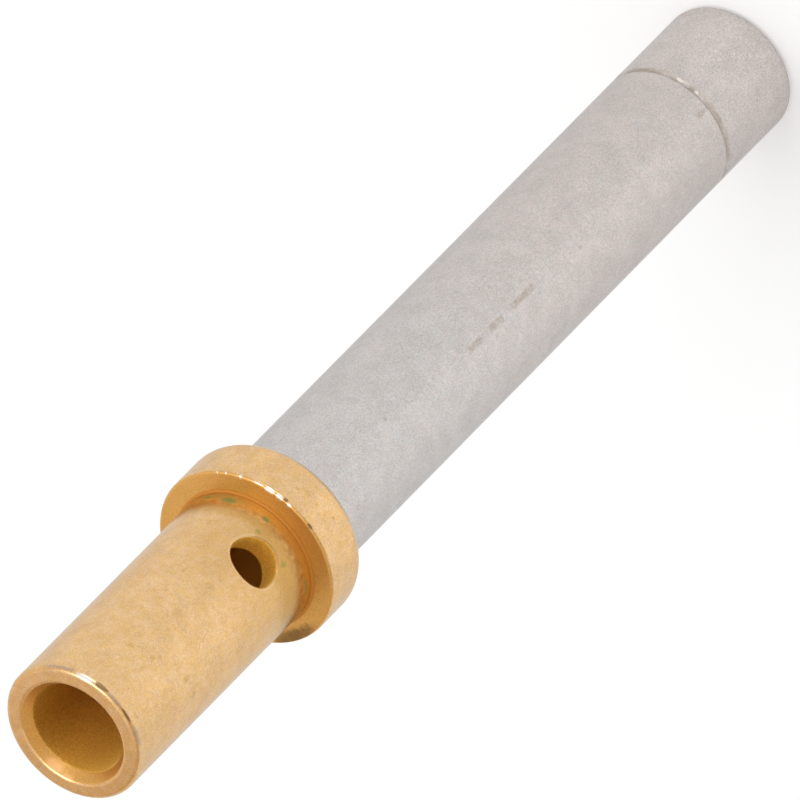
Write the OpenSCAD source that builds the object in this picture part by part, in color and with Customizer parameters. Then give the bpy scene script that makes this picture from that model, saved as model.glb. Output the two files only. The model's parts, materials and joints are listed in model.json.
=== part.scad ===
// Crimp socket contact for a circular connector.
// A turned contact body with a wire barrel, a shoulder flange and a slotted spring socket,
// and a drawn steel hood that is pressed over the socket up to the flange.
// The contact stands on its nose with the wire mouth up, its axis on +Z and the inspection hole towards -Y.

/* [Wire barrel] */
// Outside diameter of the crimp barrel
barrel_d = 2.6; // [2.3:0.01:3]
// Length of the barrel from the flange to its mouth
barrel_l = 5.52; // [4:0.01:8]
// Bore for the stripped wire
wire_bore_d = 1.72; // [1.2:0.01:1.9]
// How far the wire bore runs on past the flange's rear face at full diameter
wire_bore_past_flange = 0.37; // [0:0.01:0.6]
// Width of the countersink at the mouth of the wire bore
mouth_chamfer = 0.14; // [0.05:0.01:0.2]
// Depth of that countersink
mouth_chamfer_l = 0.2; // [0.05:0.01:0.4]
// Rounding of the outer edge at the mouth
mouth_edge_r = 0.1; // [0.02:0.01:0.1]
// Inspection hole through the barrel wall
inspection_d = 0.9; // [0.5:0.01:1.1]
// Centre of the inspection hole above the flange
inspection_z = 1.04; // [0.7:0.01:2.5]

/* [Flange] */
// Diameter of the shoulder flange
flange_d = 3.4; // [3.3:0.01:4]
// Thickness of the flange
flange_t = 1.08; // [0.7:0.01:1.6]
// Rounding of the flange edge on the wire side
flange_rear_edge_r = 0.06; // [0.03:0.01:0.15]
// Rounding of the flange edge on the nose side
flange_front_edge_r = 0.32; // [0.1:0.01:0.34]
// Fillet where the barrel meets the flange
barrel_fillet_r = 0.04; // [0.03:0.01:0.15]

/* [Hood] */
// Outside diameter of the steel hood
hood_d = 2.48; // [2.4:0.01:2.6]
// Length of the hood from the nose to the flange
hood_l = 14.73; // [13:0.01:18]
// Wall of the drawn hood
hood_wall = 0.16; // [0.12:0.01:0.18]
// Rounding of the nose edge
nose_edge_r = 0.15; // [0.08:0.01:0.2]
// Thickness of the turned-in nose lip
lip_t = 0.2; // [0.15:0.01:0.3]
// Way in through the nose lip, whose inner edge is round
entry_d = 1.74; // [1.68:0.01:1.8]
// Rolled ring, measured back from the nose
ring_z = 2.15; // [1:0.01:6]
// Width of the rolled ring
ring_w = 0.16; // [0.08:0.01:0.3]
// Depth of the rolled ring
ring_depth = 0.03; // [0.02:0.01:0.04]

/* [Spring socket] */
// Diameter of the mating pin
pin_d = 1.59; // [1.5:0.01:1.62]
// Gap all round the mating pin
pin_clearance = 0.015; // [0.01:0.005:0.03]
// Gap from the hood wall to the spring tines
tine_clearance = 0.07; // [0.05:0.01:0.08]
// Gap from the nose lip to the tine tips
tip_clearance = 0.25; // [0.1:0.01:0.6]
// Full-diameter depth of the pin bore from the tine tips
pin_bore_l = 9; // [7:0.1:9.5]
// Lead-in countersink and outer rounding of the tine tips
tip_edge = 0.06; // [0.03:0.01:0.08]
// Width of the two saw slots that part the tines
slot_w = 0.3; // [0.2:0.01:0.36]
// Length of the tines from their tips to the ends of the slots
slot_l = 7.6; // [5:0.1:8]
// Length of the seat that the hood is pressed on
seat_l = 3; // [2:0.1:3.5]

/* [Hidden] */
$fn = 96;

// Included point angle of the drills that make both blind bores
drill_angle = 118;
// Extra reach of a cutter past the surface that it cuts
past = 0.5;

barrel_r = barrel_d / 2;
wire_bore_r = wire_bore_d / 2;
flange_r = flange_d / 2;
hood_r = hood_d / 2;
hood_bore_r = hood_r - hood_wall;
entry_r = entry_d / 2;
lip_r = lip_t / 2;
pin_bore_r = pin_d / 2 + pin_clearance;
tine_r = hood_bore_r - tine_clearance;

// Stations along the contact's own axis, from the nose back to the wire mouth
tip_z = lip_t + tip_clearance;
flange_z = hood_l;
barrel_z = flange_z + flange_t;
mouth_z = barrel_z + barrel_l;

// Half section of a turned step from z0 to z1, with its lower and upper outer edges rounded
module turned_step(r, z0, z1, lower_edge_r, upper_edge_r) {
    difference() {
        translate([0, z0])
            square([r, z1 - z0]);
        if (upper_edge_r > 0)
            translate([r - upper_edge_r, z1 - upper_edge_r])
                edge_waste(upper_edge_r);
        if (lower_edge_r > 0)
            translate([r - lower_edge_r, z0 + lower_edge_r])
                mirror([0, 1])
                    edge_waste(lower_edge_r);
    }
}

// What is cut away to round an upper outer edge, drawn from the centre of the rounding
module edge_waste(r) {
    difference() {
        square(r + past);
        circle(r);
    }
}

// Half section of a blind drilled bore that opens upwards, with a countersink of the given width and length
module drilled_bore(r, depth, countersink, countersink_l) {
    point_depth = r / tan(drill_angle / 2);
    polygon([
        [0, past],
        [r + countersink * (1 + past / countersink_l), past],
        [r, -countersink_l],
        [r, -depth],
        [0, -depth - point_depth],
    ]);
}

// Half section of the turned body before it is cross drilled and slotted
module body_section() {
    difference() {
        union() {
            turned_step(tine_r, tip_z, flange_z, tip_edge, 0);
            turned_step(hood_bore_r, flange_z - seat_l, flange_z + flange_t / 2, tip_edge, 0);
            turned_step(flange_r, flange_z, barrel_z, flange_front_edge_r, flange_rear_edge_r);
            turned_step(barrel_r, barrel_z - flange_t / 2, mouth_z, 0, mouth_edge_r);
            barrel_fillet();
        }
        translate([0, mouth_z])
            drilled_bore(wire_bore_r, barrel_l + wire_bore_past_flange, mouth_chamfer, mouth_chamfer_l);
        translate([0, tip_z])
            mirror([0, 1])
                drilled_bore(pin_bore_r, pin_bore_l, tip_edge, tip_edge);
    }
}

// Half section of the fillet in the corner between barrel and flange
module barrel_fillet() {
    translate([barrel_r, barrel_z])
        difference() {
            square(barrel_fillet_r);
            translate([barrel_fillet_r, barrel_fillet_r])
                circle(barrel_fillet_r);
        }
}

// The hole that shows whether the wire is fully in, through one wall of the barrel
module inspection_hole() {
    translate([0, 0, barrel_z + inspection_z])
        rotate([90, 0, 0])
            cylinder(d = inspection_d, h = barrel_r + past);
}

// One saw cut across the socket, round at its inner end, which leaves two spring tines
module saw_slot() {
    cut_l = slot_l - slot_w / 2;
    translate([-hood_r, -slot_w / 2, tip_z - tip_clearance])
        cube([hood_d, slot_w, cut_l + tip_clearance]);
    translate([-hood_r, 0, tip_z + cut_l])
        rotate([0, 90, 0])
            cylinder(d = slot_w, h = hood_d);
}

// Half section of the hood, with its turned-in lip and the ring that is rolled into its wall
module hood_section() {
    difference() {
        turned_step(hood_r, 0, hood_l, nose_edge_r, 0);
        difference() {
            translate([0, lip_t])
                square([hood_bore_r, hood_l]);
            translate([hood_bore_r, ring_z])
                rolled_ring();
        }
        translate([hood_r, ring_z])
            rolled_ring();
        difference() {
            translate([0, -past])
                square([entry_r + lip_r, lip_t + 2 * past]);
            translate([entry_r + lip_r, lip_r])
                circle(lip_r);
        }
    }
}

// Section of the roller's rim where it sinks into a wall at the origin
module rolled_ring() {
    rim_r = (ring_w * ring_w / 4 + ring_depth * ring_depth) / (2 * ring_depth);
    intersection() {
        translate([rim_r - ring_depth, 0])
            circle(rim_r);
        translate([-ring_depth, -ring_w])
            square([ring_depth + hood_wall / 4, 2 * ring_w]);
    }
}

// Gold-plated turned body
module contact_body() {
    color([0.9, 0.76, 0.53])
        difference() {
            rotate_extrude()
                body_section();
            inspection_hole();
            saw_slot();
        }
}

// Stainless hood
module hood() {
    color([0.77, 0.75, 0.74])
        rotate_extrude()
            hood_section();
}

contact_body();
hood();
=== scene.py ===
"""Crimp socket contact: a gold plated turned body and a drawn steel hood, standing on its nose."""

import json
import math
from types import SimpleNamespace

import bmesh
import bpy
from mathutils import Matrix, Vector


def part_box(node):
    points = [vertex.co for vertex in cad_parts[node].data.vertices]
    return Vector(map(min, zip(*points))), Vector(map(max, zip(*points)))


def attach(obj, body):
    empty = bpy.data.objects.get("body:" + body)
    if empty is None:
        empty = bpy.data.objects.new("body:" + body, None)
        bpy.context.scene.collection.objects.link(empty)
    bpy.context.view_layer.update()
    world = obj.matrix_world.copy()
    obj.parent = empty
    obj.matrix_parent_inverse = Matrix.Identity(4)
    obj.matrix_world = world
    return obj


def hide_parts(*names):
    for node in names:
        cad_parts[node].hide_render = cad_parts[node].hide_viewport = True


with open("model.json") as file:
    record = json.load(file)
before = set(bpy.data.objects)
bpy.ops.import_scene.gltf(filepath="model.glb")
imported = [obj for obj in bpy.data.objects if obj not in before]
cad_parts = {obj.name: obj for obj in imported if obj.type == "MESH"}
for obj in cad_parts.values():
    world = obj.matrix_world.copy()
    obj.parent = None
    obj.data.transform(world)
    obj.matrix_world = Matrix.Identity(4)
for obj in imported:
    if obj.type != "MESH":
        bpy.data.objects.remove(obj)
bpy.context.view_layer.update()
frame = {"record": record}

MM = 0.001

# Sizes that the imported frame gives, in millimetres
body_low, body_high = (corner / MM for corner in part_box("contact_body"))
_, hood_high = (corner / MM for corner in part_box("hood"))
mounts = {mount["name"]: mount for mount in frame["record"]["mounts"]}
MOUTH_Z = body_high.z
TIP_Z = body_low.z
FLANGE_R = min(body_high.x, body_high.y)
FLANGE_Z = hood_high.z
HOOD_R = mounts["hood_outside"]["dims"]["r_mm"]
WIRE_BORE_R = mounts["wire_bore"]["dims"]["r_mm"]
PIN_BORE_R = mounts["pin_socket"]["dims"]["r_mm"]
BARREL_Z = mounts["flange_rear"]["pos_m"][2] / MM

# Sizes of the turned body, in millimetres
BARREL_R = 1.3
WIRE_BORE_PAST_FLANGE = 0.37
MOUTH_CHAMFER = 0.14
MOUTH_CHAMFER_L = 0.2
MOUTH_EDGE_R = 0.1
MOUTH_LIP_R = 0.08
COUNTERSINK_R = WIRE_BORE_R + MOUTH_CHAMFER
FLANGE_REAR_EDGE_R = 0.06
FLANGE_FRONT_EDGE_R = 0.32
BARREL_FILLET_R = 0.04
FACE_FALL = 0.02
SEAT_L = 3.0
TIP_EDGE = 0.06
PIN_BORE_L = 9.0
SLOT_W = 0.3
SLOT_L = 7.6
DRILL_ANGLE = math.radians(118)
TOOL_NOSE_R = 0.015

# Sizes of the inspection hole, which faces -Y
HOLE_R = 0.45
HOLE_ABOVE_FLANGE = 1.04
HOLE_Z = BARREL_Z + HOLE_ABOVE_FLANGE
HOLE_EDGE_R = 0.06

# Sizes of the drawn hood, and of the tines inside it
HOOD_WALL = 0.16
HOOD_BORE_R = HOOD_R - HOOD_WALL
TINE_CLEARANCE = 0.07
TINE_R = HOOD_BORE_R - TINE_CLEARANCE
NOSE_EDGE_R = 0.15
LIP_T = 0.2
ENTRY_R = 0.87
RING_Z = 2.15
RING_W = 0.13
RING_DEPTH = 0.022
HOOD_REAR_EDGE_R = 0.02


# Turned shapes

# How fine the meshes are, and which corners, edges and points count as straight, sharp and the same
SEGMENTS = 240
ARC_STEP = math.radians(11)
LEAST_ARC_STEPS = 2
RING_STEPS = 10
SLOT_END_STEPS = 13
STRAIGHT = math.radians(179.9)
SHARP_EDGE = math.radians(35)
SAME_POINT = 1e-5

# Points that hold a straight stretch flat: how far inside its ends, and the least stretch that gets them
HOLDING_GAP = 0.004
HOLDING_LEAST = 0.03

# The windows that the inspection hole joins: columns on each side of it, and half the vertices round them
BARREL_WINDOW_COLUMNS = 23
BORE_WINDOW_COLUMNS = 35
HALF_BORDER = 4 * BARREL_WINDOW_COLUMNS

# The hole's loops of vertices: the turn of the windows' first corner, and how the loops are spaced
FIRST_CORNER_TURN = -3 / 8
SKIRT_SHARES = (0.75, 0.5, 0.3, 0.15, 0.05, 0.01, 0.0)
HOLE_EDGE_STEPS = 7
HOLE_WALL_SHARES = (0.03, 0.3, 0.6, 0.97)


def rounded_corner(before, corner, after, radius):
    """Points of the arc that rounds one corner of an outline, or the corner itself where it is sharp."""
    to_before = (before - corner).normalized()
    to_after = (after - corner).normalized()
    opening = to_before.angle(to_after)
    if radius == 0 or opening > STRAIGHT:
        return [corner]
    reach = radius / math.tan(opening / 2)
    centre = corner + (to_before + to_after).normalized() * (radius / math.sin(opening / 2))
    first = corner + to_before * reach - centre
    last = corner + to_after * reach - centre
    sweep = first.angle_signed(last)
    steps = max(LEAST_ARC_STEPS, math.ceil(abs(sweep) / ARC_STEP))
    turns = [Matrix.Rotation(-sweep * step / steps, 2) for step in range(steps + 1)]
    return [centre + turn @ first for turn in turns]


def rounded_outline(corners, closed=False):
    """An outline of (radius, height) points from corners given as (radius, height, rounding)."""
    points = [Vector(corner[:2]) for corner in corners]
    count = len(points)
    outline = []
    for index, corner in enumerate(corners):
        if not closed and index in (0, count - 1):
            outline.append(points[index])
            continue
        before = points[index - 1]
        after = points[(index + 1) % count]
        outline += rounded_corner(before, points[index], after, corner[2])
    return without_repeats(outline)


def without_repeats(outline):
    """Leaves out a point that lies on the one before it, as where two roundings meet."""
    pairs = zip(outline[-1:] + outline[:-1], outline)
    return [point for before, point in pairs if (point - before).length > SAME_POINT]


def with_holding_points(outline, closed=False):
    """Adds a point just inside both ends of each straight stretch, bar the axis, to shade it flat."""
    held = []
    stretches = list(zip(outline, outline[1:] + outline[:1]))
    for start, end in stretches if closed else stretches[:-1]:
        held.append(start)
        if (end - start).length > HOLDING_LEAST:
            along = (end - start).normalized() * HOLDING_GAP
            held += [point for point in (start + along, end - along) if point.x > HOLDING_GAP]
    return held if closed else held + [outline[-1]]


def ring_of(mesh, radius, height):
    """One ring of vertices, the first of which faces -Y, or a single vertex on the axis."""
    if radius == 0:
        return [mesh.verts.new((0, 0, height))]
    turns = [math.tau * column / SEGMENTS for column in range(SEGMENTS)]
    return [mesh.verts.new((radius * math.sin(a), -radius * math.cos(a), height)) for a in turns]


def bridge_rings(mesh, lower, upper, gap_columns=0):
    """Faces between two rings, without those within gap_columns of the first vertex."""
    for column in range(gap_columns, SEGMENTS - gap_columns):
        following = (column + 1) % SEGMENTS
        corners = [
            lower[column % len(lower)],
            lower[following % len(lower)],
            upper[following % len(upper)],
            upper[column % len(upper)],
        ]
        mesh.faces.new(list(dict.fromkeys(corners)))


def join_loops(mesh, first, second):
    """Faces between two closed loops that have the same number of vertices."""
    for index in range(len(first)):
        following = (index + 1) % len(first)
        mesh.faces.new([first[index], first[following], second[following], second[index]])


class Window:
    """A rectangular opening left in a turned wall for the hole that is drilled across it.

    The borders of all windows have the same number of vertices.
    """

    def __init__(self, radius, columns):
        self.radius = radius
        self.columns = columns
        rows = HALF_BORDER - 2 * columns
        half_width = radius * math.sin(math.tau * columns / SEGMENTS)
        self.heights = [HOLE_Z + half_width * (2 * row / rows - 1) for row in range(rows + 1)]
        self.rings = []

    def is_in(self, start, end):
        """Whether the opening lies in the wall that is turned from an outline's stretch."""
        on_wall = all(abs(point.x - self.radius) < HOLDING_GAP for point in (start, end))
        low, high = sorted((start.y, end.y))
        return on_wall and low < self.heights[0] and high > self.heights[-1]

    def depth(self, x):
        """How far forward the wall stands, along Y, at a distance x from the hole's middle."""
        return -math.sqrt(self.radius**2 - x**2)

    def border(self):
        """The opening's vertices in order, once round from its lower -X corner."""
        wide = range(-self.columns, self.columns)
        low, high = self.rings[0], self.rings[-1]
        upwards = [ring[self.columns] for ring in self.rings[:-1]]
        downwards = [ring[-self.columns] for ring in reversed(self.rings[1:])]
        return [low[c] for c in wide] + upwards + [high[-c] for c in wide] + downwards


def turn_outline(mesh, outline, windows=(), closed=False):
    """Turns an outline round the axis. A wall that has a window gets the window's rows of vertices."""
    rows = []
    for start, end in zip(outline, outline[1:] + outline[:1]):
        rows.append((start, None))
        for window in windows:
            if window.is_in(start, end):
                heights = window.heights if end.y > start.y else window.heights[::-1]
                rows += [(Vector((window.radius, height)), window) for height in heights]
    rings = [ring_of(mesh, point.x, point.y) for point, _ in rows]
    for index in range(len(rows) - (0 if closed else 1)):
        following = (index + 1) % len(rows)
        window = rows[index][1]
        gap = window.columns if window and rows[following][1] is window else 0
        bridge_rings(mesh, rings[index], rings[following], gap)
    for window in windows:
        found = [ring for ring, (_, owner) in zip(rings, rows) if owner is window]
        window.rings = sorted(found, key=lambda ring: ring[0].co.z)


def drill_across(mesh, outer, inner):
    """Drills the inspection hole through the wall between two windows, with a rounded outer edge."""
    outer_border = outer.border()
    inner_border = inner.border()
    count = len(outer_border)
    turns = [math.tau * (index / count + FIRST_CORNER_TURN) for index in range(count)]

    def loop_at(place):
        """A loop of vertices where a function of each turn's cosine and sine places them."""
        return [mesh.verts.new(place(math.cos(turn), math.sin(turn))) for turn in turns]

    def skirt(window, border, rim_r, share):
        """A loop on the window's wall, a share of the way from the hole's rim to the border."""
        loop = []
        for turn, vertex in zip(turns, border):
            rim = Vector((rim_r * math.cos(turn), rim_r * math.sin(turn)))
            place = rim.lerp(Vector((vertex.co.x, vertex.co.z - HOLE_Z)), share)
            loop.append(mesh.verts.new((place.x, window.depth(place.x), HOLE_Z + place.y)))
        return loop

    def edge(step):
        """A loop of the rounded edge, some steps from the barrel's outside to the hole's wall."""
        bend = math.pi / 2 * step / HOLE_EDGE_STEPS
        rim_r = HOLE_R + HOLE_EDGE_R * (1 - math.sin(bend))
        sink = HOLE_EDGE_R * (1 - math.cos(bend))
        return loop_at(lambda c, s: (rim_r * c, outer.depth(rim_r * c) + sink, HOLE_Z + rim_r * s))

    def wall(share):
        """A loop of the hole's wall, a share of the way from its edge to the wire bore."""
        def place(c, s):
            front = outer.depth(HOLE_R * c) + HOLE_EDGE_R
            back = inner.depth(HOLE_R * c)
            return (HOLE_R * c, front + (back - front) * share, HOLE_Z + HOLE_R * s)
        return loop_at(place)

    loops = [outer_border]
    loops += [skirt(outer, outer_border, HOLE_R + HOLE_EDGE_R, share) for share in SKIRT_SHARES]
    loops += [edge(step) for step in range(1, HOLE_EDGE_STEPS + 1)]
    loops += [wall(share) for share in HOLE_WALL_SHARES]
    loops += [skirt(inner, inner_border, HOLE_R, share) for share in reversed(SKIRT_SHARES)]
    loops.append(inner_border)
    for first, second in zip(loops, loops[1:]):
        join_loops(mesh, first, second)


def new_object(name, data):
    """Adds an object to the scene."""
    made = bpy.data.objects.new(name, data)
    bpy.context.scene.collection.objects.link(made)
    return made


def finished_object(name, mesh):
    """A smooth shaded object from a mesh in millimetres."""
    loose = [vertex for vertex in mesh.verts if not vertex.link_faces]
    bmesh.ops.delete(mesh, geom=loose, context="VERTS")
    bmesh.ops.recalc_face_normals(mesh, faces=mesh.faces)
    bmesh.ops.scale(mesh, vec=(MM, MM, MM), verts=mesh.verts)
    for face in mesh.faces:
        face.smooth = True
    data = bpy.data.meshes.new(name)
    mesh.to_mesh(data)
    mesh.free()
    data.set_sharp_from_angle(angle=SHARP_EDGE)
    return new_object(name, data)


def saw_slot():
    """The cutter that parts the socket into two tines: a blade across the axis with a round inner end."""
    mesh = bmesh.new()
    half_w = SLOT_W / 2
    round_z = TIP_Z + SLOT_L - half_w
    turns = [math.pi * step / SLOT_END_STEPS for step in range(SLOT_END_STEPS + 1)]
    outline = [(half_w * math.cos(turn), round_z + half_w * math.sin(turn)) for turn in turns]
    outline += [(-half_w, TIP_Z - half_w), (half_w, TIP_Z - half_w)]
    sides = [[mesh.verts.new((x, y, z)) for y, z in outline] for x in (-HOOD_R, HOOD_R)]
    join_loops(mesh, *sides)
    for side in sides:
        mesh.faces.new(side)
    return finished_object("saw_slot", mesh)


def cut_away(piece, cutter):
    """Cuts the cutter's shape out of a piece for good."""
    cut = piece.modifiers.new("cut", "BOOLEAN")
    cut.operation = "DIFFERENCE"
    cut.solver = "EXACT"
    cut.object = cutter
    bpy.context.view_layer.objects.active = piece
    bpy.ops.object.modifier_apply(modifier=cut.name)
    bpy.data.objects.remove(cutter)


def make_contact_body():
    """The turned body, cross drilled and slotted."""
    wire_end_z = BARREL_Z - WIRE_BORE_PAST_FLANGE
    pin_end_z = TIP_Z + PIN_BORE_L
    seat_z = FLANGE_Z - SEAT_L
    drill_slope = math.tan(DRILL_ANGLE / 2)
    corners = [
        (0, wire_end_z - WIRE_BORE_R / drill_slope, 0),
        (WIRE_BORE_R, wire_end_z, TOOL_NOSE_R),
        (WIRE_BORE_R, MOUTH_Z - MOUTH_CHAMFER_L, MOUTH_LIP_R),
        (COUNTERSINK_R, MOUTH_Z, MOUTH_LIP_R),
        (BARREL_R, MOUTH_Z - FACE_FALL, MOUTH_EDGE_R),
        (BARREL_R, BARREL_Z, BARREL_FILLET_R),
        (FLANGE_R, BARREL_Z - FACE_FALL, FLANGE_REAR_EDGE_R),
        (FLANGE_R, FLANGE_Z, FLANGE_FRONT_EDGE_R),
        (HOOD_BORE_R, FLANGE_Z, 0),
        (HOOD_BORE_R, seat_z, TIP_EDGE),
        (TINE_R, seat_z, 0),
        (TINE_R, TIP_Z, TIP_EDGE),
        (PIN_BORE_R + TIP_EDGE, TIP_Z, TOOL_NOSE_R),
        (PIN_BORE_R, TIP_Z + TIP_EDGE, TOOL_NOSE_R),
        (PIN_BORE_R, pin_end_z, TOOL_NOSE_R),
        (0, pin_end_z + PIN_BORE_R / drill_slope, 0),
    ]
    outer = Window(BARREL_R, BARREL_WINDOW_COLUMNS)
    inner = Window(WIRE_BORE_R, BORE_WINDOW_COLUMNS)
    mesh = bmesh.new()
    turn_outline(mesh, with_holding_points(rounded_outline(corners)), [outer, inner])
    drill_across(mesh, outer, inner)
    piece = finished_object("turned_contact_body", mesh)
    cut_away(piece, saw_slot())
    return piece


def rolled_ring():
    """Points of the shallow groove that is rolled into the hood, from the nose side up."""
    roller_r = (RING_W**2 / 4 + RING_DEPTH**2) / (2 * RING_DEPTH)
    half_sweep = math.asin(RING_W / 2 / roller_r)
    centre_r = HOOD_R + roller_r - RING_DEPTH
    turns = [half_sweep * (2 * step / RING_STEPS - 1) for step in range(RING_STEPS + 1)]
    return [(centre_r - roller_r * math.cos(a), RING_Z + roller_r * math.sin(a), 0) for a in turns]


def make_hood():
    """The drawn hood, with its turned-in lip and rolled ring."""
    corners = [
        (ENTRY_R, 0, LIP_T / 2),
        (HOOD_R, 0, NOSE_EDGE_R),
        *rolled_ring(),
        (HOOD_R, FLANGE_Z, HOOD_REAR_EDGE_R),
        (HOOD_BORE_R, FLANGE_Z, 0),
        (HOOD_BORE_R, LIP_T, 0),
        (ENTRY_R, LIP_T, LIP_T / 2),
    ]
    mesh = bmesh.new()
    outline = with_holding_points(rounded_outline(corners, closed=True), closed=True)
    turn_outline(mesh, outline, closed=True)
    return finished_object("drawn_hood", mesh)


# Finishes

WHITE = (1, 1, 1, 1)
BLACK = (0, 0, 0, 1)
EDGE_TINT = (0.8, 0.8, 0.8, 1)
NOISE_MIDDLE = 0.5
GRAIN_DEPTH = 0.0006


class Value:
    """A socket of a finish's nodes. Arithmetic on it adds Math nodes."""

    def __init__(self, finish, socket):
        self.finish = finish
        self.socket = socket

    def __add__(self, other):
        return self.finish.math("ADD", self, other)

    def __radd__(self, other):
        return self.finish.math("ADD", other, self)

    def __sub__(self, other):
        return self.finish.math("SUBTRACT", self, other)

    def __rsub__(self, other):
        return self.finish.math("SUBTRACT", other, self)

    def __mul__(self, other):
        return self.finish.math("MULTIPLY", self, other)

    def __rmul__(self, other):
        return self.finish.math("MULTIPLY", other, self)

    def __truediv__(self, other):
        return self.finish.math("DIVIDE", self, other)


class Finish:
    """The node tree of one material or of the world."""

    def __init__(self, owner):
        self.owner = owner
        owner.use_nodes = True
        self.tree = owner.node_tree
        self.tree.nodes.clear()

    def node(self, kind, settings, sockets, output=0):
        """Adds a node, with its settings first and then the values or links of its sockets."""
        made = self.tree.nodes.new(kind)
        for name, setting in settings.items():
            if name == "stops":
                set_stops(made.color_ramp, setting)
            else:
                setattr(made, name, setting)
        for name, value in sockets.items():
            socket = made.inputs[name]
            if isinstance(value, Value):
                self.tree.links.new(value.socket, socket)
            else:
                socket.default_value = value
        return Value(self, made.outputs[output]) if made.outputs else None

    def math(self, operation, first, second=0.0):
        return self.node("ShaderNodeMath", {"operation": operation}, {0: first, 1: second})

    def largest(self, first, *others):
        for other in others:
            first = self.math("MAXIMUM", first, other)
        return first

    def blend_colours(self, share, first, second):
        settings = {"data_type": "RGBA"}
        return self.node("ShaderNodeMix", settings, {0: share, 6: first, 7: second}, output=2)

    def blend_shaders(self, share, first, second):
        return self.node("ShaderNodeMixShader", {}, {0: share, 1: first, 2: second})

    def fade(self, value, low, high, at_low=0.0, at_high=1.0):
        """A soft step from at_low to at_high as the value goes from low to high."""
        settings = {"interpolation_type": "SMOOTHSTEP"}
        sockets = {0: value, 1: low, 2: high, 3: at_low, 4: at_high}
        return self.node("ShaderNodeMapRange", settings, sockets)

    def part(self, place, axis):
        return self.node("ShaderNodeSeparateXYZ", {}, {0: place}, output=axis)

    def surface(self, shader):
        """Ends the tree in a shader, and gives back what the tree belongs to."""
        in_world = isinstance(self.owner, bpy.types.World)
        kind = "ShaderNodeOutputWorld" if in_world else "ShaderNodeOutputMaterial"
        self.node(kind, {}, {"Surface": shader})
        return self.owner


def set_stops(ramp, stops):
    """Gives a colour ramp the stops listed as (position, colour)."""
    while len(ramp.elements) > 1:
        ramp.elements.remove(ramp.elements[-1])
    for index, (position, colour) in enumerate(stops):
        element = ramp.elements[0] if index == 0 else ramp.elements.new(position)
        element.position = position
        element.color = colour


class Metal(Finish):
    """The finish of one metal piece, with the place of each point on it in millimetres, and its noise."""

    def __init__(self, name, clouds, mottle, grain, ragged):
        super().__init__(bpy.data.materials.new(name))
        coordinates = self.node("ShaderNodeTexCoord", {}, {}, output="Object")
        to_mm = {0: coordinates, "Scale": 1 / MM}
        self.place = self.node("ShaderNodeVectorMath", {"operation": "SCALE"}, to_mm)
        self.x = self.part(self.place, "X")
        self.y = self.part(self.place, "Y")
        self.height = self.part(self.place, "Z")
        # The angle round the axis, in radians, from -Y towards +X
        self.bearing = self.math("ARCTAN2", self.x, 0 - self.y)
        self.clouds = self.noise(clouds)
        self.mottle = self.noise(mottle)
        self.grain = self.noise(grain)
        self.ragged = self.noise(ragged) - NOISE_MIDDLE

    def noise(self, sockets):
        return self.node("ShaderNodeTexNoise", {}, {"Vector": self.place, **sockets})

    def away_from(self, point, kept):
        """The distance from a point, measured along the axes that are kept."""
        flat = self.node("ShaderNodeVectorMath", {"operation": "MULTIPLY"}, {0: self.place, 1: kept})
        sockets = {0: flat, 1: point}
        return self.node("ShaderNodeVectorMath", {"operation": "DISTANCE"}, sockets, output="Value")

    def marks(self, marks, radius, along):
        """How fully marks cover a round surface of the given radius, placed by a measure along it."""
        shown = 0.0
        for at_bearing, at_along, half_wide, half_long in marks.spots:
            across = (self.bearing - math.radians(at_bearing)) * (radius / half_wide)
            lengthwise = (along - at_along) / half_long
            if marks.square:
                reach = self.largest(across * across, lengthwise * lengthwise)
            else:
                reach = across * across + lengthwise * lengthwise
            torn_reach = reach + marks.torn * self.ragged
            shown = self.largest(shown, self.fade(torn_reach, 1 + marks.soft, 1 - marks.soft))
        return marks.cover * shown

    def bare_metal(self, colour, roughness):
        """Ends the tree in a metal with a fine grain."""
        bump = {"Height": self.grain, "Strength": 1.0, "Distance": GRAIN_DEPTH * MM}
        shader = self.node("ShaderNodeBsdfPrincipled", {}, {
            "Base Color": colour,
            "Metallic": 1.0,
            "Specular Tint": EDGE_TINT,
            "Roughness": roughness,
            "Normal": self.node("ShaderNodeBump", {}, bump, output="Normal"),
        })
        return self.surface(shader)


class Marks:
    """Ragged marks, each listed as bearing in degrees, place along, half width and half length.

    They are round or square, cover what is under them by a share, and have soft and torn edges.
    """

    def __init__(self, *spots, cover=1.0, soft=0.4, torn=2.0, square=False):
        self.spots = spots
        self.cover = cover
        self.soft = soft
        self.torn = torn
        self.square = square


# The gold plating

WARM_GOLD = (0.85, 0.543, 0.24, 1)
PALE_GOLD = (0.85, 0.58, 0.33, 1)
SHADED_GOLD = (0.59, 0.37, 0.165, 1)
# Painted orange reflection of the gold round them, on the flange's face and in the countersink
PAINTED_REFLECTION_GOLD = (0.8, 0.465, 0.127, 1)
# Painted shade and orange reflection on the barrel above the flange, on the side towards -Y
PAINTED_CORNER_SHADE_GOLD = (0.55, 0.31, 0.082, 1)
# A painted lighter band, a painted reflection, on the barrel next to the corner
PAINTED_LIGHT_CORNER_GOLD = (0.87, 0.6, 0.25, 1)
# Painted shade in the fillet where barrel and flange meet
PAINTED_SHADE_FILLET_GOLD = (0.65, 0.315, 0.065, 1)
# Painted highlight on the countersink's lip
PAINTED_HIGHLIGHT_GOLD = (1, 0.6, 0.28, 1)
# Painted highlight on the inspection hole's rim and on the flange's front edge
PAINTED_HIGHLIGHT_RIM_GOLD = (0.9, 0.68, 0.42, 1)
DRILLED_GOLD = (1, 0.74, 0.2, 1)
HOLE_GOLD = (0.97, 0.7, 0.17, 1)
# Darker gold for grain in bore and hole, and for painted shade on one side of the bore
GRAIN_AND_PAINTED_SHADE_GOLD = (0.62, 0.37, 0.065, 1)
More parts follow.
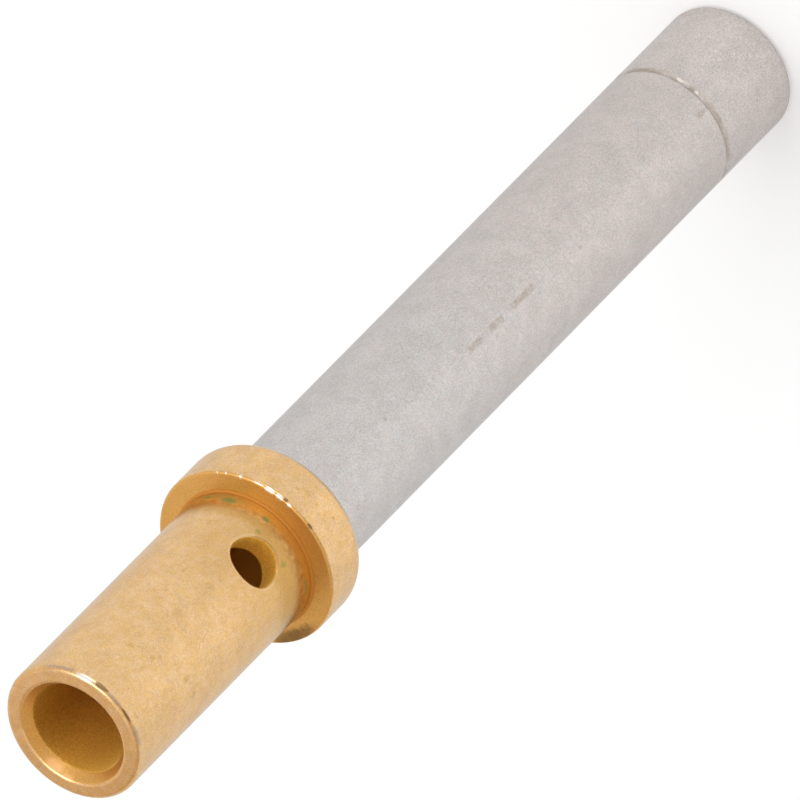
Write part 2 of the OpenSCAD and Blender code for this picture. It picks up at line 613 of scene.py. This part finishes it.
# Painted shade far down the wire bore
PAINTED_DEPTH_SHADE_GOLD = (0.74, 0.44, 0.085, 1)
GRIME_BROWN = (0.48, 0.27, 0.08, 1)
# Near white painted glints on the edges of mouth and flange and in the hood's ring
PAINTED_GLINT_WHITE = (0.98, 0.94, 0.88, 1)
WORN_GREY = (0.4, 0.34, 0.29, 1)
NICK_BROWN = (0.14, 0.085, 0.04, 1)
VERDIGRIS = (0.2, 0.3, 0.08, 1)

# Noise in the gold. The scale is in waves to a millimetre
GOLD_CLOUDS = {"Scale": 3.0, "Detail": 4.0, "Roughness": 0.8}
GOLD_MOTTLE = {"Scale": 7.0, "Detail": 4.0}
GOLD_GRAIN = {"Scale": 34.0, "Roughness": 0.7}
GOLD_RAGGED = {"Scale": 9.0, "Detail": 3.0}
GOLD_SPECKS = {"Scale": 5.0}

# Where the noise fades from one colour to the next
GOLD_MOTTLE_FADE = (0.35, 0.65)
GOLD_SPECKLE_FADE = (0.42, 0.58)
GOLD_CLOUD_FADE = (0.3, 0.7)
GOLD_SPECK_FADE = (0.66, 0.74)

# Where zones of the gold begin and are full, by the distance from the contact's axis
BORE_WALL = (WIRE_BORE_R + 0.015, WIRE_BORE_R + 0.005)
IN_COUNTERSINK = (COUNTERSINK_R, COUNTERSINK_R - 0.02)
ON_LIP = (COUNTERSINK_R + 0.05, COUNTERSINK_R + 0.03)
ON_BARREL = (WIRE_BORE_R + 0.2, WIRE_BORE_R + 0.3)
ON_RIM_OR_BARREL = (COUNTERSINK_R, BARREL_R)
ON_FACE = (BARREL_R, BARREL_R + 0.03)
ON_FLANGE_SIDE = (FLANGE_R - 0.05, FLANGE_R - 0.02)
ON_FLANGE_EDGE = (FLANGE_R - 0.1, FLANGE_R - 0.06)
CLEAR_OF_HOOD = (HOOD_R, HOOD_R + 0.05)

# By the depth below the mouth, by the depth below the flange's face, and by the height on the contact
COUNTERSINK_DEPTH = (0.23, 0.2)
FACE_DEPTH = (0.04, 0.025)
FRONT_EDGE_DEPTH = (0.85, 1.02)
DEEP_BORE = (HOLE_Z + 1.2, HOLE_Z - 0.3)

# By the distance from the inspection hole's axis
HOLE_WALL = (HOLE_R + 0.02, HOLE_R + 0.005)
HOLE_RIM = (HOLE_R + 0.08, HOLE_R + 0.04)

# By the distance from the corner of barrel and flange. Two more numbers are the shares at both limits
IN_FILLET = (0.06, 0.035)
ABOVE_FACE = (0.0, 0.03)
NEAR_CORNER = (0.4, 0.15)
PAINTED_CORNER_SHADE_REACH = (0.85, 0.3)
PAINTED_WARMTH_REACH = (2.8, 1.2, 0.0, 0.4)

# How far the painted shade's edge is torn, and how much higher it lies on the lower side
PAINTED_CORNER_SHADE_TORN = 0.4
PAINTED_CORNER_SHADE_LOWER_RISE = 0.45

# By the place along Y and along X
HOLE_SIDE = (0.6, -0.2)
PAINTED_WARMTH_SIDE = (-0.6, -1.2)
LOWER_SIDE = (0.7, -0.5)
PAINTED_SHADE_BORE_SIDE = (-0.45, 0.5)

# How fully each colour covers its zone
GRAIN_COVER = 0.4
CLOUD_COVER = 0.4
HOLE_RIM_COVER = 0.5
FRONT_EDGE_COVER = 0.8
PAINTED_REFLECTION_COVER = 0.85
PAINTED_REFLECTION_SPECKLE = 0.35
PAINTED_CORNER_SHADE_COVER = 0.85
PAINTED_LIGHT_CORNER_COVER = 0.9
PAINTED_SHADE_FILLET_COVER = 0.95
SPECK_COVER = 0.3
BORE_SPECKLE = 0.3
BORE_PAINTED_SHADE_COVER = 0.7
HOLE_SPECKLE = 0.35
GREEN_COVER = 0.7

# How rough the gold is, and how much rougher in its dull zones
GOLD_ROUGHNESS = 0.24
GOLD_MOTTLE_ROUGHNESS = 0.06
DRILLED_DULL = 0.64
FILLET_DULL = 0.4
GREEN_DULL = 0.3
FACE_AND_COUNTERSINK_DULL = 0.16

# Marks placed by their height above the corner of barrel and flange
GREEN_RESIDUE = Marks(
    (70, 0.16, 0.1, 0.045),
    (49, 0.2, 0.15, 0.075),
    (16, 0.22, 0.08, 0.05),
    (-47, 0.2, 0.16, 0.03),
    soft=0.8,
)
FAINT_RESIDUE = Marks(
    (58, 0.13, 0.55, 0.08),
    (14.4, 0.54, 0.05, 0.045),
    (-17, 0.58, 0.05, 0.06),
    cover=0.5,
    soft=0.8,
)

# Marks placed by their depth below the mouth
MOUTH_NICKS = Marks(
    (15.4, 0.07, 0.13, 0.035),
    (-12.6, 0.06, 0.16, 0.02),
    cover=0.7,
)
MOUTH_SCUFFS = Marks(
    (53, 0.07, 0.32, 0.025),
    (2, 0.06, 0.16, 0.025),
    (-31, 0.08, 0.22, 0.03),
    cover=0.6,
)
# A painted glint on the mouth's edge
MOUTH_PAINTED_GLINT = Marks(
    (30, 0.05, 0.17, 0.03),
    cover=0.9,
    soft=0.7,
    torn=1.0,
)
# Painted highlights on the countersink's lip
LIP_PAINTED_HIGHLIGHTS = Marks(
    (-163, 0.07, 0.16, 0.09),
    (-146, 0.03, 0.1, 0.05),
    cover=0.8,
    soft=1.0,
)
BARREL_SMUDGES = Marks(
    (-18, 0.23, 0.09, 0.03),
    (0.5, 1.44, 0.03, 0.04),
    (14.2, 2.41, 0.08, 0.1),
    (10.4, 3.34, 0.1, 0.07),
    (-41.7, 1.75, 0.05, 0.06),
    (-26.6, 1.7, 0.07, 0.1),
    cover=0.35,
    soft=1.0,
    torn=3.0,
)

# Marks placed by their depth below the flange's face
FLANGE_NICKS = Marks(
    (13.6, 0.05, 0.045, 0.03),
    (-6.8, 0.04, 0.06, 0.025),
    cover=0.7,
)
FLANGE_SPOTS = Marks(
    (-13, 0.58, 0.03, 0.03),
    (13.3, 0.4, 0.035, 0.025),
    cover=0.5,
    soft=1.0,
)
# Painted glints along the flange's edge
FLANGE_PAINTED_GLINTS = Marks(
    (60, 0.03, 0.015, 0.012),
    (54, 0.03, 0.02, 0.012),
    (44.2, 0.03, 0.03, 0.018),
    (32, 0.03, 0.1, 0.008),
    (24.3, 0.025, 0.09, 0.035),
    (17.5, 0.025, 0.07, 0.035),
    (10.4, 0.03, 0.05, 0.015),
    cover=0.9,
    soft=0.6,
    torn=1.0,
)

# Dirt on the flange's face, placed by the distance from the axis
FACE_DIRT = Marks(
    (-105, 1.546, 0.14, 0.07),
    (-103, 1.6, 0.5, 0.14),
    cover=0.75,
    soft=1.0,
)


def body_zones(gold):
    """Measures on the turned body, and where the gold's finishes lie on it, from nothing to one."""
    zones = SimpleNamespace()
    radius = gold.away_from((0, 0, 0), kept=(1, 1, 0))
    from_hole = gold.away_from((0, 0, HOLE_Z), kept=(1, 0, 1))
    in_front = gold.math("LESS_THAN", gold.y, 0.0)
    zones.radius = radius
    zones.below_mouth = MOUTH_Z - gold.height
    zones.below_flange = BARREL_Z - gold.height
    zones.speckle = gold.fade(gold.grain, *GOLD_SPECKLE_FADE)
    zones.on_barrel = gold.fade(radius, *ON_BARREL)
    zones.hole_wall = gold.fade(from_hole, *HOLE_WALL) * in_front
    zones.hole_rim = gold.fade(from_hole, *HOLE_RIM) * in_front * zones.on_barrel
    zones.bore_wall = gold.fade(radius, *BORE_WALL)
    countersunk = gold.fade(radius, *IN_COUNTERSINK) * gold.fade(zones.below_mouth, *COUNTERSINK_DEPTH)
    zones.faced = gold.fade(radius, *ON_FACE) * gold.fade(zones.below_flange, *FACE_DEPTH)
    # The flange's face and the countersink, where the orange reflection is painted
    zones.tarnished = gold.largest(zones.faced, countersunk)
    above_flange = 0 - zones.below_flange
    off_barrel = radius - BARREL_R
    zones.fillet = gold.fade(gold.largest(above_flange, off_barrel), *IN_FILLET) * zones.on_barrel
    zones.from_corner = above_flange - off_barrel
    return zones


def plain_gold(gold, zones):
    """The mottled plating, with painted highlights that make the hole's rim and the flange's front edge
    paler.
    """
    colour = gold.blend_colours(gold.fade(gold.mottle, *GOLD_MOTTLE_FADE), WARM_GOLD, PALE_GOLD)
    shade = GRAIN_COVER * zones.speckle + CLOUD_COVER * gold.fade(gold.clouds, *GOLD_CLOUD_FADE)
    colour = gold.blend_colours(shade, colour, SHADED_GOLD)
    off_hood = gold.fade(zones.radius, *CLEAR_OF_HOOD)
    front_edge = gold.fade(zones.below_flange, *FRONT_EDGE_DEPTH) * off_hood
    # Painted highlights on the hole's rim and the flange's front edge
    painted_edge_highlights = gold.largest(HOLE_RIM_COVER * zones.hole_rim, FRONT_EDGE_COVER * front_edge)
    return gold.blend_colours(painted_edge_highlights, colour, PAINTED_HIGHLIGHT_RIM_GOLD)


def painted_corner_shade_and_light(gold, zones):
    """Where painted shade and a warmer painted reflection lie on the barrel near the flange, and where a
    painted lighter band lies next to the corner.
    """
    above_face = gold.fade(zones.from_corner, *ABOVE_FACE) * zones.on_barrel
    hole_side = gold.fade(gold.y, *HOLE_SIDE)
    torn_height = zones.from_corner + PAINTED_CORNER_SHADE_TORN * gold.ragged
    lower_side = gold.fade(gold.x, *LOWER_SIDE)
    # Painted shade and a warmer painted reflection on the barrel near the flange
    shade_and_stain = gold.fade(torn_height - PAINTED_CORNER_SHADE_LOWER_RISE * lower_side, *PAINTED_CORNER_SHADE_REACH) * hole_side
    painted_warmth = gold.fade(zones.from_corner, *PAINTED_WARMTH_REACH) * gold.fade(gold.y, *PAINTED_WARMTH_SIDE)
    painted_corner_lightening = gold.fade(torn_height, *NEAR_CORNER) * hole_side
    return gold.largest(shade_and_stain, painted_warmth) * above_face, painted_corner_lightening * above_face


def tarnished_gold(gold, zones, colour):
    """Painted orange reflection on the flange's face and in the countersink, and painted shade and light
    where barrel and flange meet.
    """
    tarnish = gold.blend_colours(PAINTED_REFLECTION_SPECKLE * zones.speckle, PAINTED_REFLECTION_GOLD, GRIME_BROWN)
    painted_corner_shade, painted_corner_lightening = painted_corner_shade_and_light(gold, zones)
    # Painted orange reflection on the flange's face and in the countersink
    colour = gold.blend_colours(PAINTED_REFLECTION_COVER * zones.tarnished, colour, tarnish)
    # Painted shade on the barrel near the flange
    colour = gold.blend_colours(PAINTED_CORNER_SHADE_COVER * painted_corner_shade, colour, PAINTED_CORNER_SHADE_GOLD)
    # A painted lighter band next to the corner
    colour = gold.blend_colours(PAINTED_LIGHT_CORNER_COVER * painted_corner_lightening, colour, PAINTED_LIGHT_CORNER_GOLD)
    # Painted shade in the fillet
    return gold.blend_colours(PAINTED_SHADE_FILLET_COVER * zones.fillet, colour, PAINTED_SHADE_FILLET_GOLD)


def soiled_and_highlighted_gold(gold, zones, colour):
    """A painted highlight on the countersink's lip, and spots, specks and smudges of grime."""
    lip_highlights = gold.marks(LIP_PAINTED_HIGHLIGHTS, COUNTERSINK_R, zones.below_mouth) * gold.fade(zones.radius, *ON_LIP)
    on_side = gold.fade(zones.radius, *ON_FLANGE_SIDE)
    spots = gold.marks(FLANGE_SPOTS, FLANGE_R, zones.below_flange) * on_side
    specked = gold.fade(gold.noise(GOLD_SPECKS), *GOLD_SPECK_FADE)
    specks = SPECK_COVER * specked * gold.fade(zones.radius, *ON_RIM_OR_BARREL)
    smudges = gold.marks(BARREL_SMUDGES, BARREL_R, zones.below_mouth) * zones.on_barrel
    colour = gold.blend_colours(lip_highlights, colour, PAINTED_HIGHLIGHT_GOLD)
    return gold.blend_colours(gold.largest(spots, specks, smudges), colour, GRIME_BROWN)


def drilled_gold(gold, zones, colour):
    """Dull gold in the wire bore, with painted shade on one side and further down, and in the inspection
    hole.
    """
    # Grain, and painted shade on one side of the bore
    bore_grain_and_painted_shade = BORE_SPECKLE * zones.speckle + BORE_PAINTED_SHADE_COVER * gold.fade(gold.x, *PAINTED_SHADE_BORE_SIDE)
    bore = gold.blend_colours(bore_grain_and_painted_shade, DRILLED_GOLD, GRAIN_AND_PAINTED_SHADE_GOLD)
    # Painted shade further down the bore
    painted_depth_shade = gold.fade(gold.height, *DEEP_BORE) * zones.bore_wall
    bore = gold.blend_colours(painted_depth_shade, bore, PAINTED_DEPTH_SHADE_GOLD)
    hole = gold.blend_colours(HOLE_SPECKLE * zones.speckle, HOLE_GOLD, GRAIN_AND_PAINTED_SHADE_GOLD)
    colour = gold.blend_colours(zones.bore_wall, colour, bore)
    return gold.blend_colours(zones.hole_wall * (1 - zones.bore_wall), colour, hole)


def nicked_and_glinting_gold(gold, zones, colour):
    """Scuffs, nicks and painted glints on the edges of mouth and flange, and dirt on the flange's face.
    """
    def at_mouth(marks):
        return gold.marks(marks, BARREL_R, zones.below_mouth) * zones.on_barrel

    def at_flange(marks, limits):
        return gold.marks(marks, FLANGE_R, zones.below_flange) * gold.fade(zones.radius, *limits)

    dirt = gold.marks(FACE_DIRT, FLANGE_R, zones.radius) * zones.faced
    nicks = gold.largest(at_mouth(MOUTH_NICKS), at_flange(FLANGE_NICKS, ON_FLANGE_SIDE))
    # Painted glints on the edges of mouth and flange
    painted_glints = gold.largest(at_mouth(MOUTH_PAINTED_GLINT), at_flange(FLANGE_PAINTED_GLINTS, ON_FLANGE_EDGE))
    colour = gold.blend_colours(at_mouth(MOUTH_SCUFFS), colour, WORN_GREY)
    colour = gold.blend_colours(dirt, colour, NICK_BROWN)
    colour = gold.blend_colours(nicks, colour, NICK_BROWN)
    return gold.blend_colours(painted_glints, colour, PAINTED_GLINT_WHITE)


def gold_plating():
    """Satin gold on turned metal: mottled, dull where drilled, with painted reflection and shade at the
    flange and in the bore, and nicks and painted glints at edges.
    """
    gold = Metal("satin gold plating", GOLD_CLOUDS, GOLD_MOTTLE, GOLD_GRAIN, GOLD_RAGGED)
    zones = body_zones(gold)
    residue = gold.marks(GREEN_RESIDUE, BARREL_R, zones.from_corner)
    faint_residue = gold.marks(FAINT_RESIDUE, BARREL_R, zones.from_corner)
    green = gold.largest(residue, faint_residue) * zones.on_barrel
    colour = plain_gold(gold, zones)
    colour = tarnished_gold(gold, zones, colour)
    colour = soiled_and_highlighted_gold(gold, zones, colour)
    colour = drilled_gold(gold, zones, colour)
    colour = gold.blend_colours(GREEN_COVER * green, colour, VERDIGRIS)
    colour = nicked_and_glinting_gold(gold, zones, colour)
    dull = gold.largest(
        DRILLED_DULL * gold.largest(zones.hole_wall, zones.bore_wall),
        FILLET_DULL * zones.fillet,
        GREEN_DULL * green,
        FACE_AND_COUNTERSINK_DULL * zones.tarnished,
    )
    return gold.bare_metal(colour, GOLD_ROUGHNESS + GOLD_MOTTLE_ROUGHNESS * gold.mottle + dull)


# The drawn steel

STEEL = (0.65, 0.635, 0.63, 1)
PINK_STEEL = (0.685, 0.595, 0.555, 1)
# Paler steel painted near the nose, as painted light against the floor's shadow
PAINTED_LIGHT_NOSE_STEEL = (0.76, 0.69, 0.66, 1)
SHADED_STEEL = (0.46, 0.435, 0.415, 1)
BROWN_STAIN = (0.33, 0.255, 0.18, 1)

# Noise in the steel. The scale is in waves to a millimetre
STEEL_CLOUDS = {"Scale": 2.5, "Detail": 4.0, "Roughness": 0.7}
STEEL_MOTTLE = {"Scale": 14.0, "Detail": 3.0}
STEEL_GRAIN = {"Scale": 40.0, "Roughness": 0.8}
DASH_PATCHES = {"Scale": 11.0, "Detail": 3.0}
RING_PATCHES = {"Scale": 5.0}

# Where the noise fades from one colour to the next. Two more numbers are the shares at both limits
STEEL_MOTTLE_FADE = (0.38, 0.62)
STEEL_GRAIN_FADE = (0.43, 0.59)
STEEL_CLOUD_FADE = (0.3, 0.7)
DASH_PATCH_FADE = (0.35, 0.6, 0.4, 1.0)
RING_PATCH_FADE = (0.25, 0.6)

# Heights between which the steel turns pinker, and paler towards the nose as painted light, with the
# shares at both
PINK_HEIGHTS = (12.0, 6.0, 0.0, 0.3)
PAINTED_LIGHT_NOSE_HEIGHTS = (2.6, 1.0, 0.0, 0.75)

# The grime in the rolled ring, by the distance from its middle
RING_GRIME_REACH = (0.1, 0.03)
RING_GRIME_TORN = 0.12

# How fully each colour covers the steel
PINK_COVER = 0.7
STEEL_GRAIN_COVER = 0.62
STEEL_CLOUD_COVER = 0.3
RING_GRIME_COVER = 0.35

# How rough the steel is, and how much rougher where it has brown stains
STEEL_ROUGHNESS = 0.34
STEEL_MOTTLE_ROUGHNESS = 0.1
STAIN_ROUGHNESS = 0.4

# Marks placed by their height on the contact
HOOD_DASHES = Marks(
    (-3.9, 9.84, 0.06, 0.2),
    (-4.1, 9.16, 0.063, 0.21),
    (-3.7, 8.3, 0.06, 0.36),
    cover=0.36,
    soft=0.6,
    square=True,
)
HOOD_SPOTS = Marks(
    (5.2, 12.49, 0.03, 0.04),
    (-9, 6.53, 0.03, 0.04),
    (-2.8, 2.41, 0.05, 0.12),
    cover=0.3,
    soft=1.0,
    torn=3.0,
)
RING_STAINS = Marks(
    (64, RING_Z, 0.4, 0.05),
    (16.3, RING_Z, 0.06, 0.05),
    cover=0.5,
    soft=0.8,
    torn=3.0,
)
# Painted glints in the rolled ring
RING_PAINTED_GLINTS = Marks(
    (28, RING_Z - 0.03, 0.07, 0.03),
    (11.4, RING_Z - 0.02, 0.04, 0.03),
    cover=0.6,
    soft=0.9,
)


def steel_stains(steel):
    """Brown dashes and spots along the hood, and grime in its rolled ring."""
    patchy = steel.fade(steel.noise(DASH_PATCHES), *DASH_PATCH_FADE)
    dashes = patchy * steel.marks(HOOD_DASHES, HOOD_R, steel.height)
    spots = steel.marks(HOOD_SPOTS, HOOD_R, steel.height)
    ring_stains = steel.marks(RING_STAINS, HOOD_R, steel.height)
    off_ring = steel.math("ABSOLUTE", steel.height - RING_Z + RING_GRIME_TORN * steel.ragged)
    in_ring = steel.fade(off_ring, *RING_GRIME_REACH)
    grime = RING_GRIME_COVER * in_ring * steel.fade(steel.noise(RING_PATCHES), *RING_PATCH_FADE)
    return steel.largest(grime, ring_stains, dashes, spots)


def drawn_steel():
    """Dull drawn stainless steel: mottled, paler near the nose as painted light, with brown dashes and
    spots and a grimy rolled ring with painted glints.
    """
    steel = Metal("dull drawn steel", STEEL_CLOUDS, STEEL_MOTTLE, STEEL_GRAIN, ragged=STEEL_MOTTLE)
    shade_and_stain = steel_stains(steel)
    mottled = steel.fade(steel.mottle, *STEEL_MOTTLE_FADE)
    pink = PINK_COVER * mottled + steel.fade(steel.height, *PINK_HEIGHTS)
    colour = steel.blend_colours(pink, STEEL, PINK_STEEL)
    # Painted light: paler towards the nose
    colour = steel.blend_colours(steel.fade(steel.height, *PAINTED_LIGHT_NOSE_HEIGHTS), colour, PAINTED_LIGHT_NOSE_STEEL)
    grainy = steel.fade(steel.grain, *STEEL_GRAIN_FADE)
    cloudy = steel.fade(steel.clouds, *STEEL_CLOUD_FADE)
    shade = STEEL_GRAIN_COVER * grainy + STEEL_CLOUD_COVER * cloudy
    colour = steel.blend_colours(shade, colour, SHADED_STEEL)
    colour = steel.blend_colours(shade_and_stain, colour, BROWN_STAIN)
    # Painted glints in the rolled ring
    colour = steel.blend_colours(steel.marks(RING_PAINTED_GLINTS, HOOD_R, steel.height), colour, PAINTED_GLINT_WHITE)
    roughness = STEEL_ROUGHNESS + STEEL_MOTTLE_ROUGHNESS * steel.mottle + STAIN_ROUGHNESS * shade_and_stain
    return steel.bare_metal(colour, roughness)


# The studio, in metres

FLOOR_HALF = 1.0
FLOOR_WHITE = (0.86, 0.86, 0.86, 1)
FLOOR_LIFT = (0.24, 0.24, 0.24, 1)
ROOM_LIGHT = 0.77

# The lamps, by where they hang as seen from the flange
KEY_BEARING = math.radians(87)
KEY_ELEVATION = math.radians(75)
LAMP_DISTANCE = 0.13
KEY_SIZE = 0.05
KEY_RADIANCE = 4.0
GLINT_BEARING = math.radians(38)
GLINT_ELEVATION = math.radians(12)
GLINT_SIZE = 0.03
GLINT_RADIANCE = 4.0

# A patch of floor beside the contact that is lit a little more
PATCH_BEARING = math.radians(-2)
PATCH_NEAR = 0.003
PATCH_L = 0.025
PATCH_W = 0.019
PATCH_LAMP_Z = 0.03
PATCH_SPREAD = math.radians(4)
PATCH_LIGHT = 0.42

# What metal mirrors of the room from the floor's far edge to the ceiling, by the sine of the elevation
FLOOR_EDGE = 0.1
WALL_LOW = 0.35
WALL_HIGH = 0.75
CEILING = 0.95
CEILING_WHITE = (1, 0.96, 0.92, 1)
BRIGHT_WALL = (0.92, 0.82, 0.73, 1)
DIM_WALL_LOW = (0.68, 0.55, 0.4, 1)
DIM_WALL_HIGH = (0.66, 0.53, 0.38, 1)
BRIGHT_SIDE = (
    (FLOOR_EDGE, WHITE),
    (WALL_LOW, BRIGHT_WALL),
    (WALL_HIGH, BRIGHT_WALL),
    (CEILING, CEILING_WHITE),
)
DIM_SIDE = (
    (FLOOR_EDGE, WHITE),
    (WALL_LOW, DIM_WALL_LOW),
    (WALL_HIGH, DIM_WALL_HIGH),
    (CEILING, CEILING_WHITE),
)

# Where the dim side turns into the bright one, along X
BRIGHT_FROM = (-0.4, 0.2)


def seen_by(finish, *rays):
    """One for the kinds of ray that are named, nothing for the rest."""
    kinds = [finish.node("ShaderNodeLightPath", {}, {}, output=ray) for ray in rays]
    return finish.largest(*kinds)


def white_floor():
    """Pale matt floor, lifted to white where the camera or a reflection sees it."""
    finish = Finish(bpy.data.materials.new("white floor"))
    matt = finish.node("ShaderNodeBsdfDiffuse", {}, {"Color": FLOOR_WHITE})
    seen = seen_by(finish, "Is Camera Ray", "Is Glossy Ray", "Is Transmission Ray")
    lift = finish.blend_colours(seen, BLACK, FLOOR_LIFT)
    glow = finish.node("ShaderNodeEmission", {}, {"Color": lift, "Strength": 1.0})
    return finish.surface(finish.node("ShaderNodeAddShader", {}, {0: matt, 1: glow}))


def lay_floor():
    """A wide floor under the nose."""
    data = bpy.data.meshes.new("floor")
    reach = FLOOR_HALF
    corners = [(-reach, -reach, 0), (reach, -reach, 0), (reach, reach, 0), (-reach, reach, 0)]
    data.from_pydata(corners, [], [(0, 1, 2, 3)])
    data.materials.append(white_floor())
    floor = new_object("floor", data)


def light_room():
    """An even white room. Metal also mirrors its walls, warmer and dimmer above the white floor."""
    world = bpy.data.worlds.new("white room")
    bpy.context.scene.world = world
    finish = Finish(world)
    way = finish.node("ShaderNodeTexCoord", {}, {}, output="Generated")
    rise = finish.part(way, "Z")
    bright = finish.node("ShaderNodeValToRGB", {"stops": BRIGHT_SIDE}, {"Fac": rise})
    dim = finish.node("ShaderNodeValToRGB", {"stops": DIM_SIDE}, {"Fac": rise})
    walls = finish.blend_colours(finish.fade(finish.part(way, "X"), *BRIGHT_FROM), dim, bright)
    lit = finish.node("ShaderNodeBackground", {}, {"Color": WHITE, "Strength": ROOM_LIGHT})
    white = finish.node("ShaderNodeBackground", {}, {"Color": WHITE, "Strength": 1.0})
    mirrored = finish.node("ShaderNodeBackground", {}, {"Color": walls, "Strength": 1.0})
    shown = finish.blend_shaders(seen_by(finish, "Is Camera Ray"), lit, white)
    in_mirror = seen_by(finish, "Is Glossy Ray", "Is Transmission Ray")
    finish.surface(finish.blend_shaders(in_mirror, shown, mirrored))


def direction(bearing, elevation):
    """The unit vector at a bearing from -Y towards +X and an elevation above the floor."""
    level = math.cos(elevation)
    return Vector((math.sin(bearing) * level, -math.cos(bearing) * level, math.sin(elevation)))


def soft_lamp(name, size, energy):
    """A square lamp that the camera doesn't see."""
    data = bpy.data.lights.new(name, "AREA")
    data.size = size
    data.energy = energy
    lamp = new_object(name, data)
    lamp.visible_camera = False
    return lamp


def hang_lamp(name, bearing, elevation, size, radiance):
    """A lamp that faces the flange."""
    lamp = soft_lamp(name, size, radiance * math.pi * size**2)
    outwards = direction(bearing, elevation)
    lamp.location = Vector((0, 0, BARREL_Z * MM)) + outwards * LAMP_DISTANCE
    lamp.rotation_euler = outwards.to_track_quat("Z", "Y").to_euler()


def hang_patch_lamp():
    """A narrow lamp that faces straight down on the patch of floor beside the contact."""
    lamp = soft_lamp("patch lamp", PATCH_L, PATCH_LIGHT * PATCH_L * PATCH_W)
    lamp.data.shape = "RECTANGLE"
    lamp.data.size_y = PATCH_W
    lamp.data.spread = PATCH_SPREAD
    outwards = direction(PATCH_BEARING, 0)
    sideways = direction(PATCH_BEARING - math.pi / 2, 0)
    lamp.location = outwards * (PATCH_NEAR + PATCH_L / 2) + sideways * (PATCH_W / 2)
    lamp.location.z = PATCH_LAMP_Z
    lamp.rotation_euler.z = PATCH_BEARING - math.pi / 2


# The camera, placed from where the contact lies in an 800 pixel square picture

PICTURE_PX = 800
PX_PER_MM = 59.8
CAMERA_BEARING = math.radians(6.8)
CAMERA_ELEVATION = math.radians(42.7)
AXIS_LEAN = math.radians(135.39)
MIDDLE_PX = (404.9, 396.4)
CAMERA_DISTANCE = 0.6
CAMERA_CLIP = 10.0


def set_camera():
    """Looks down on the wire mouth, with the contact's axis leaning across the picture."""
    towards_camera = direction(CAMERA_BEARING, CAMERA_ELEVATION)
    axis_up = Vector((0, 0, 1))
    upright = (axis_up - towards_camera * axis_up.dot(towards_camera)).normalized()
    sideways = upright.cross(towards_camera)
    picture_up = upright * math.cos(AXIS_LEAN) + sideways * math.sin(AXIS_LEAN)
    picture_right = picture_up.cross(towards_camera)
    frame_width = PICTURE_PX / PX_PER_MM * MM
    aside = (PICTURE_PX / 2 - MIDDLE_PX[0]) / PX_PER_MM * MM
    above = (MIDDLE_PX[1] - PICTURE_PX / 2) / PX_PER_MM * MM
    middle = Vector((0, 0, MOUTH_Z / 2 * MM)) + picture_right * aside + picture_up * above
    data = bpy.data.cameras.new("camera")
    data.sensor_fit = "HORIZONTAL"
    data.lens = data.sensor_width * CAMERA_DISTANCE / frame_width
    data.clip_end = CAMERA_CLIP
    camera = new_object("camera", data)
    axes = Matrix((picture_right, picture_up, towards_camera)).transposed()
    camera.matrix_world = Matrix.Translation(middle + towards_camera * CAMERA_DISTANCE) @ axes.to_4x4()
    bpy.context.scene.camera = camera


def dress(piece, node, material):
    """Puts a finished piece in the place of its CAD node."""
    piece.data.materials.clear()
    piece.data.materials.append(material)
    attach(piece, "root")
    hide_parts(node)


dress(make_contact_body(), "contact_body", gold_plating())
dress(make_hood(), "hood", drawn_steel())
lay_floor()
light_room()
hang_lamp("key lamp", KEY_BEARING, KEY_ELEVATION, KEY_SIZE, KEY_RADIANCE)
hang_lamp("glint lamp", GLINT_BEARING, GLINT_ELEVATION, GLINT_SIZE, GLINT_RADIANCE)
hang_patch_lamp()
set_camera()
bpy.context.scene.view_settings.view_transform = "Standard"
